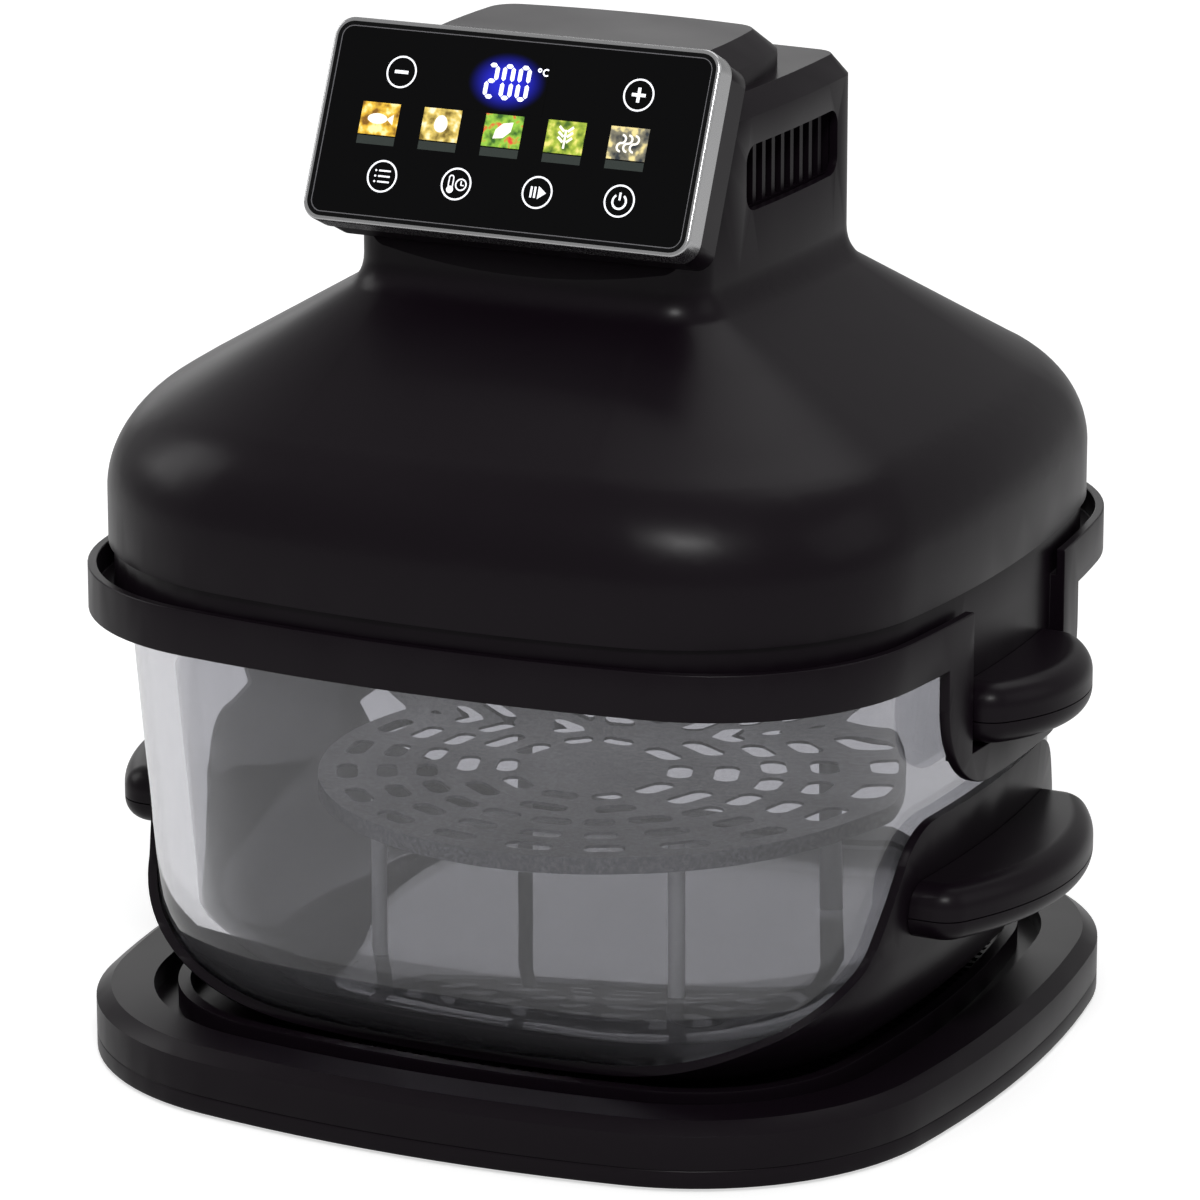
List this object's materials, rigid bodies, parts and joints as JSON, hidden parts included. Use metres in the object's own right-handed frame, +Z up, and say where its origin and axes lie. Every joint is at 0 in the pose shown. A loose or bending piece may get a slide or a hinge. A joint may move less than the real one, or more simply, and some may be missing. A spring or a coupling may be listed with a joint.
{
  "type": "glass air fryer",
  "caption": "Countertop air fryer: rounded glass bowl in a black cradle on a stand, under a lift-off heater head with a tilted touch panel.",
  "frame": {"origin": "on the table under the centre of the stand", "axes": "+Z up, -Y to the control panel at the front, +X to the right-hand grips"},
  "size_m": [0.333, 0.3, 0.3392],
  "materials": {
    "black_plastic": "fine textured satin black",
    "clear_glass": "clear heat-proof glass",
    "panel_glass": "gloss black touch sheet",
    "silver_trim": "bright satin silver",
    "silicone": "matt black silicone",
    "coated_steel": "dark non-stick coating",
    "steel": "plain sheet steel",
    "element_sheath": "dark oxidised sheath",
    "motor_iron": "bare laminated iron",
    "circuit_board": "green solder mask"
  },
  "bodies": {
    "stand": {"stand_top": "black_plastic", "stand_bottom_cover": "black_plastic", "stand_feet": "silicone", "stand_screws": "steel"},
    "bowl": {"glass_bowl": "clear_glass", "bowl_cradle": "black_plastic", "cradle_pads": "silicone", "bowl_handle_right_upper": "black_plastic", "bowl_handle_right_lower": "black_plastic", "bowl_handle_left_upper": "black_plastic", "bowl_handle_left_lower": "black_plastic"},
    "crisper": {"crisper_plate": "coated_steel", "crisper_feet": "silicone"},
    "head": {"lid_ring": "black_plastic", "lid_gasket": "silicone", "lid_handle_right_upper": "black_plastic", "lid_handle_right_lower": "black_plastic", "lid_handle_left_upper": "black_plastic", "lid_handle_left_lower": "black_plastic", "upper_housing": "black_plastic", "vent_grille_right": "black_plastic", "vent_grille_left": "black_plastic", "cord_gland": "silicone", "control_bezel": "silver_trim", "control_glass": "panel_glass", "display_board": "circuit_board", "control_pod": "black_plastic", "heater_reflector": "steel", "element_guard": "steel", "heating_element": "element_sheath", "temperature_sensor": "steel", "motor_stator": "motor_iron", "motor_bracket": "steel", "power_board": "circuit_board", "board_posts": "black_plastic", "bowl_sensor": "black_plastic"},
    "fan": {"motor_shaft": "steel", "convection_fan": "steel", "cooling_fan": "black_plastic", "fan_nut": "steel"}
  },
  "joints": [
    {"name": "bowl_lift", "type": "slide", "parent": "stand", "child": "bowl", "axis": [0, 0, 1], "range_m": [0, 0.12]},
    {"name": "head_lift", "type": "slide", "parent": "bowl", "child": "head", "axis": [0, 0, 1], "range_m": [0, 0.34]},
    {"name": "crisper_lift", "type": "slide", "parent": "bowl", "child": "crisper", "axis": [0, 0, 1], "range_m": [0, 0.17]},
    {"name": "fan_spin", "type": "hinge", "parent": "head", "child": "fan", "pos_m": [0, 0, 0.17], "axis": [0, 0, 1], "continuous": true}
  ],
  "couplings": [
    {"joint": "crisper_lift", "follows": "head_lift", "ratio": 0.5}
  ]
}
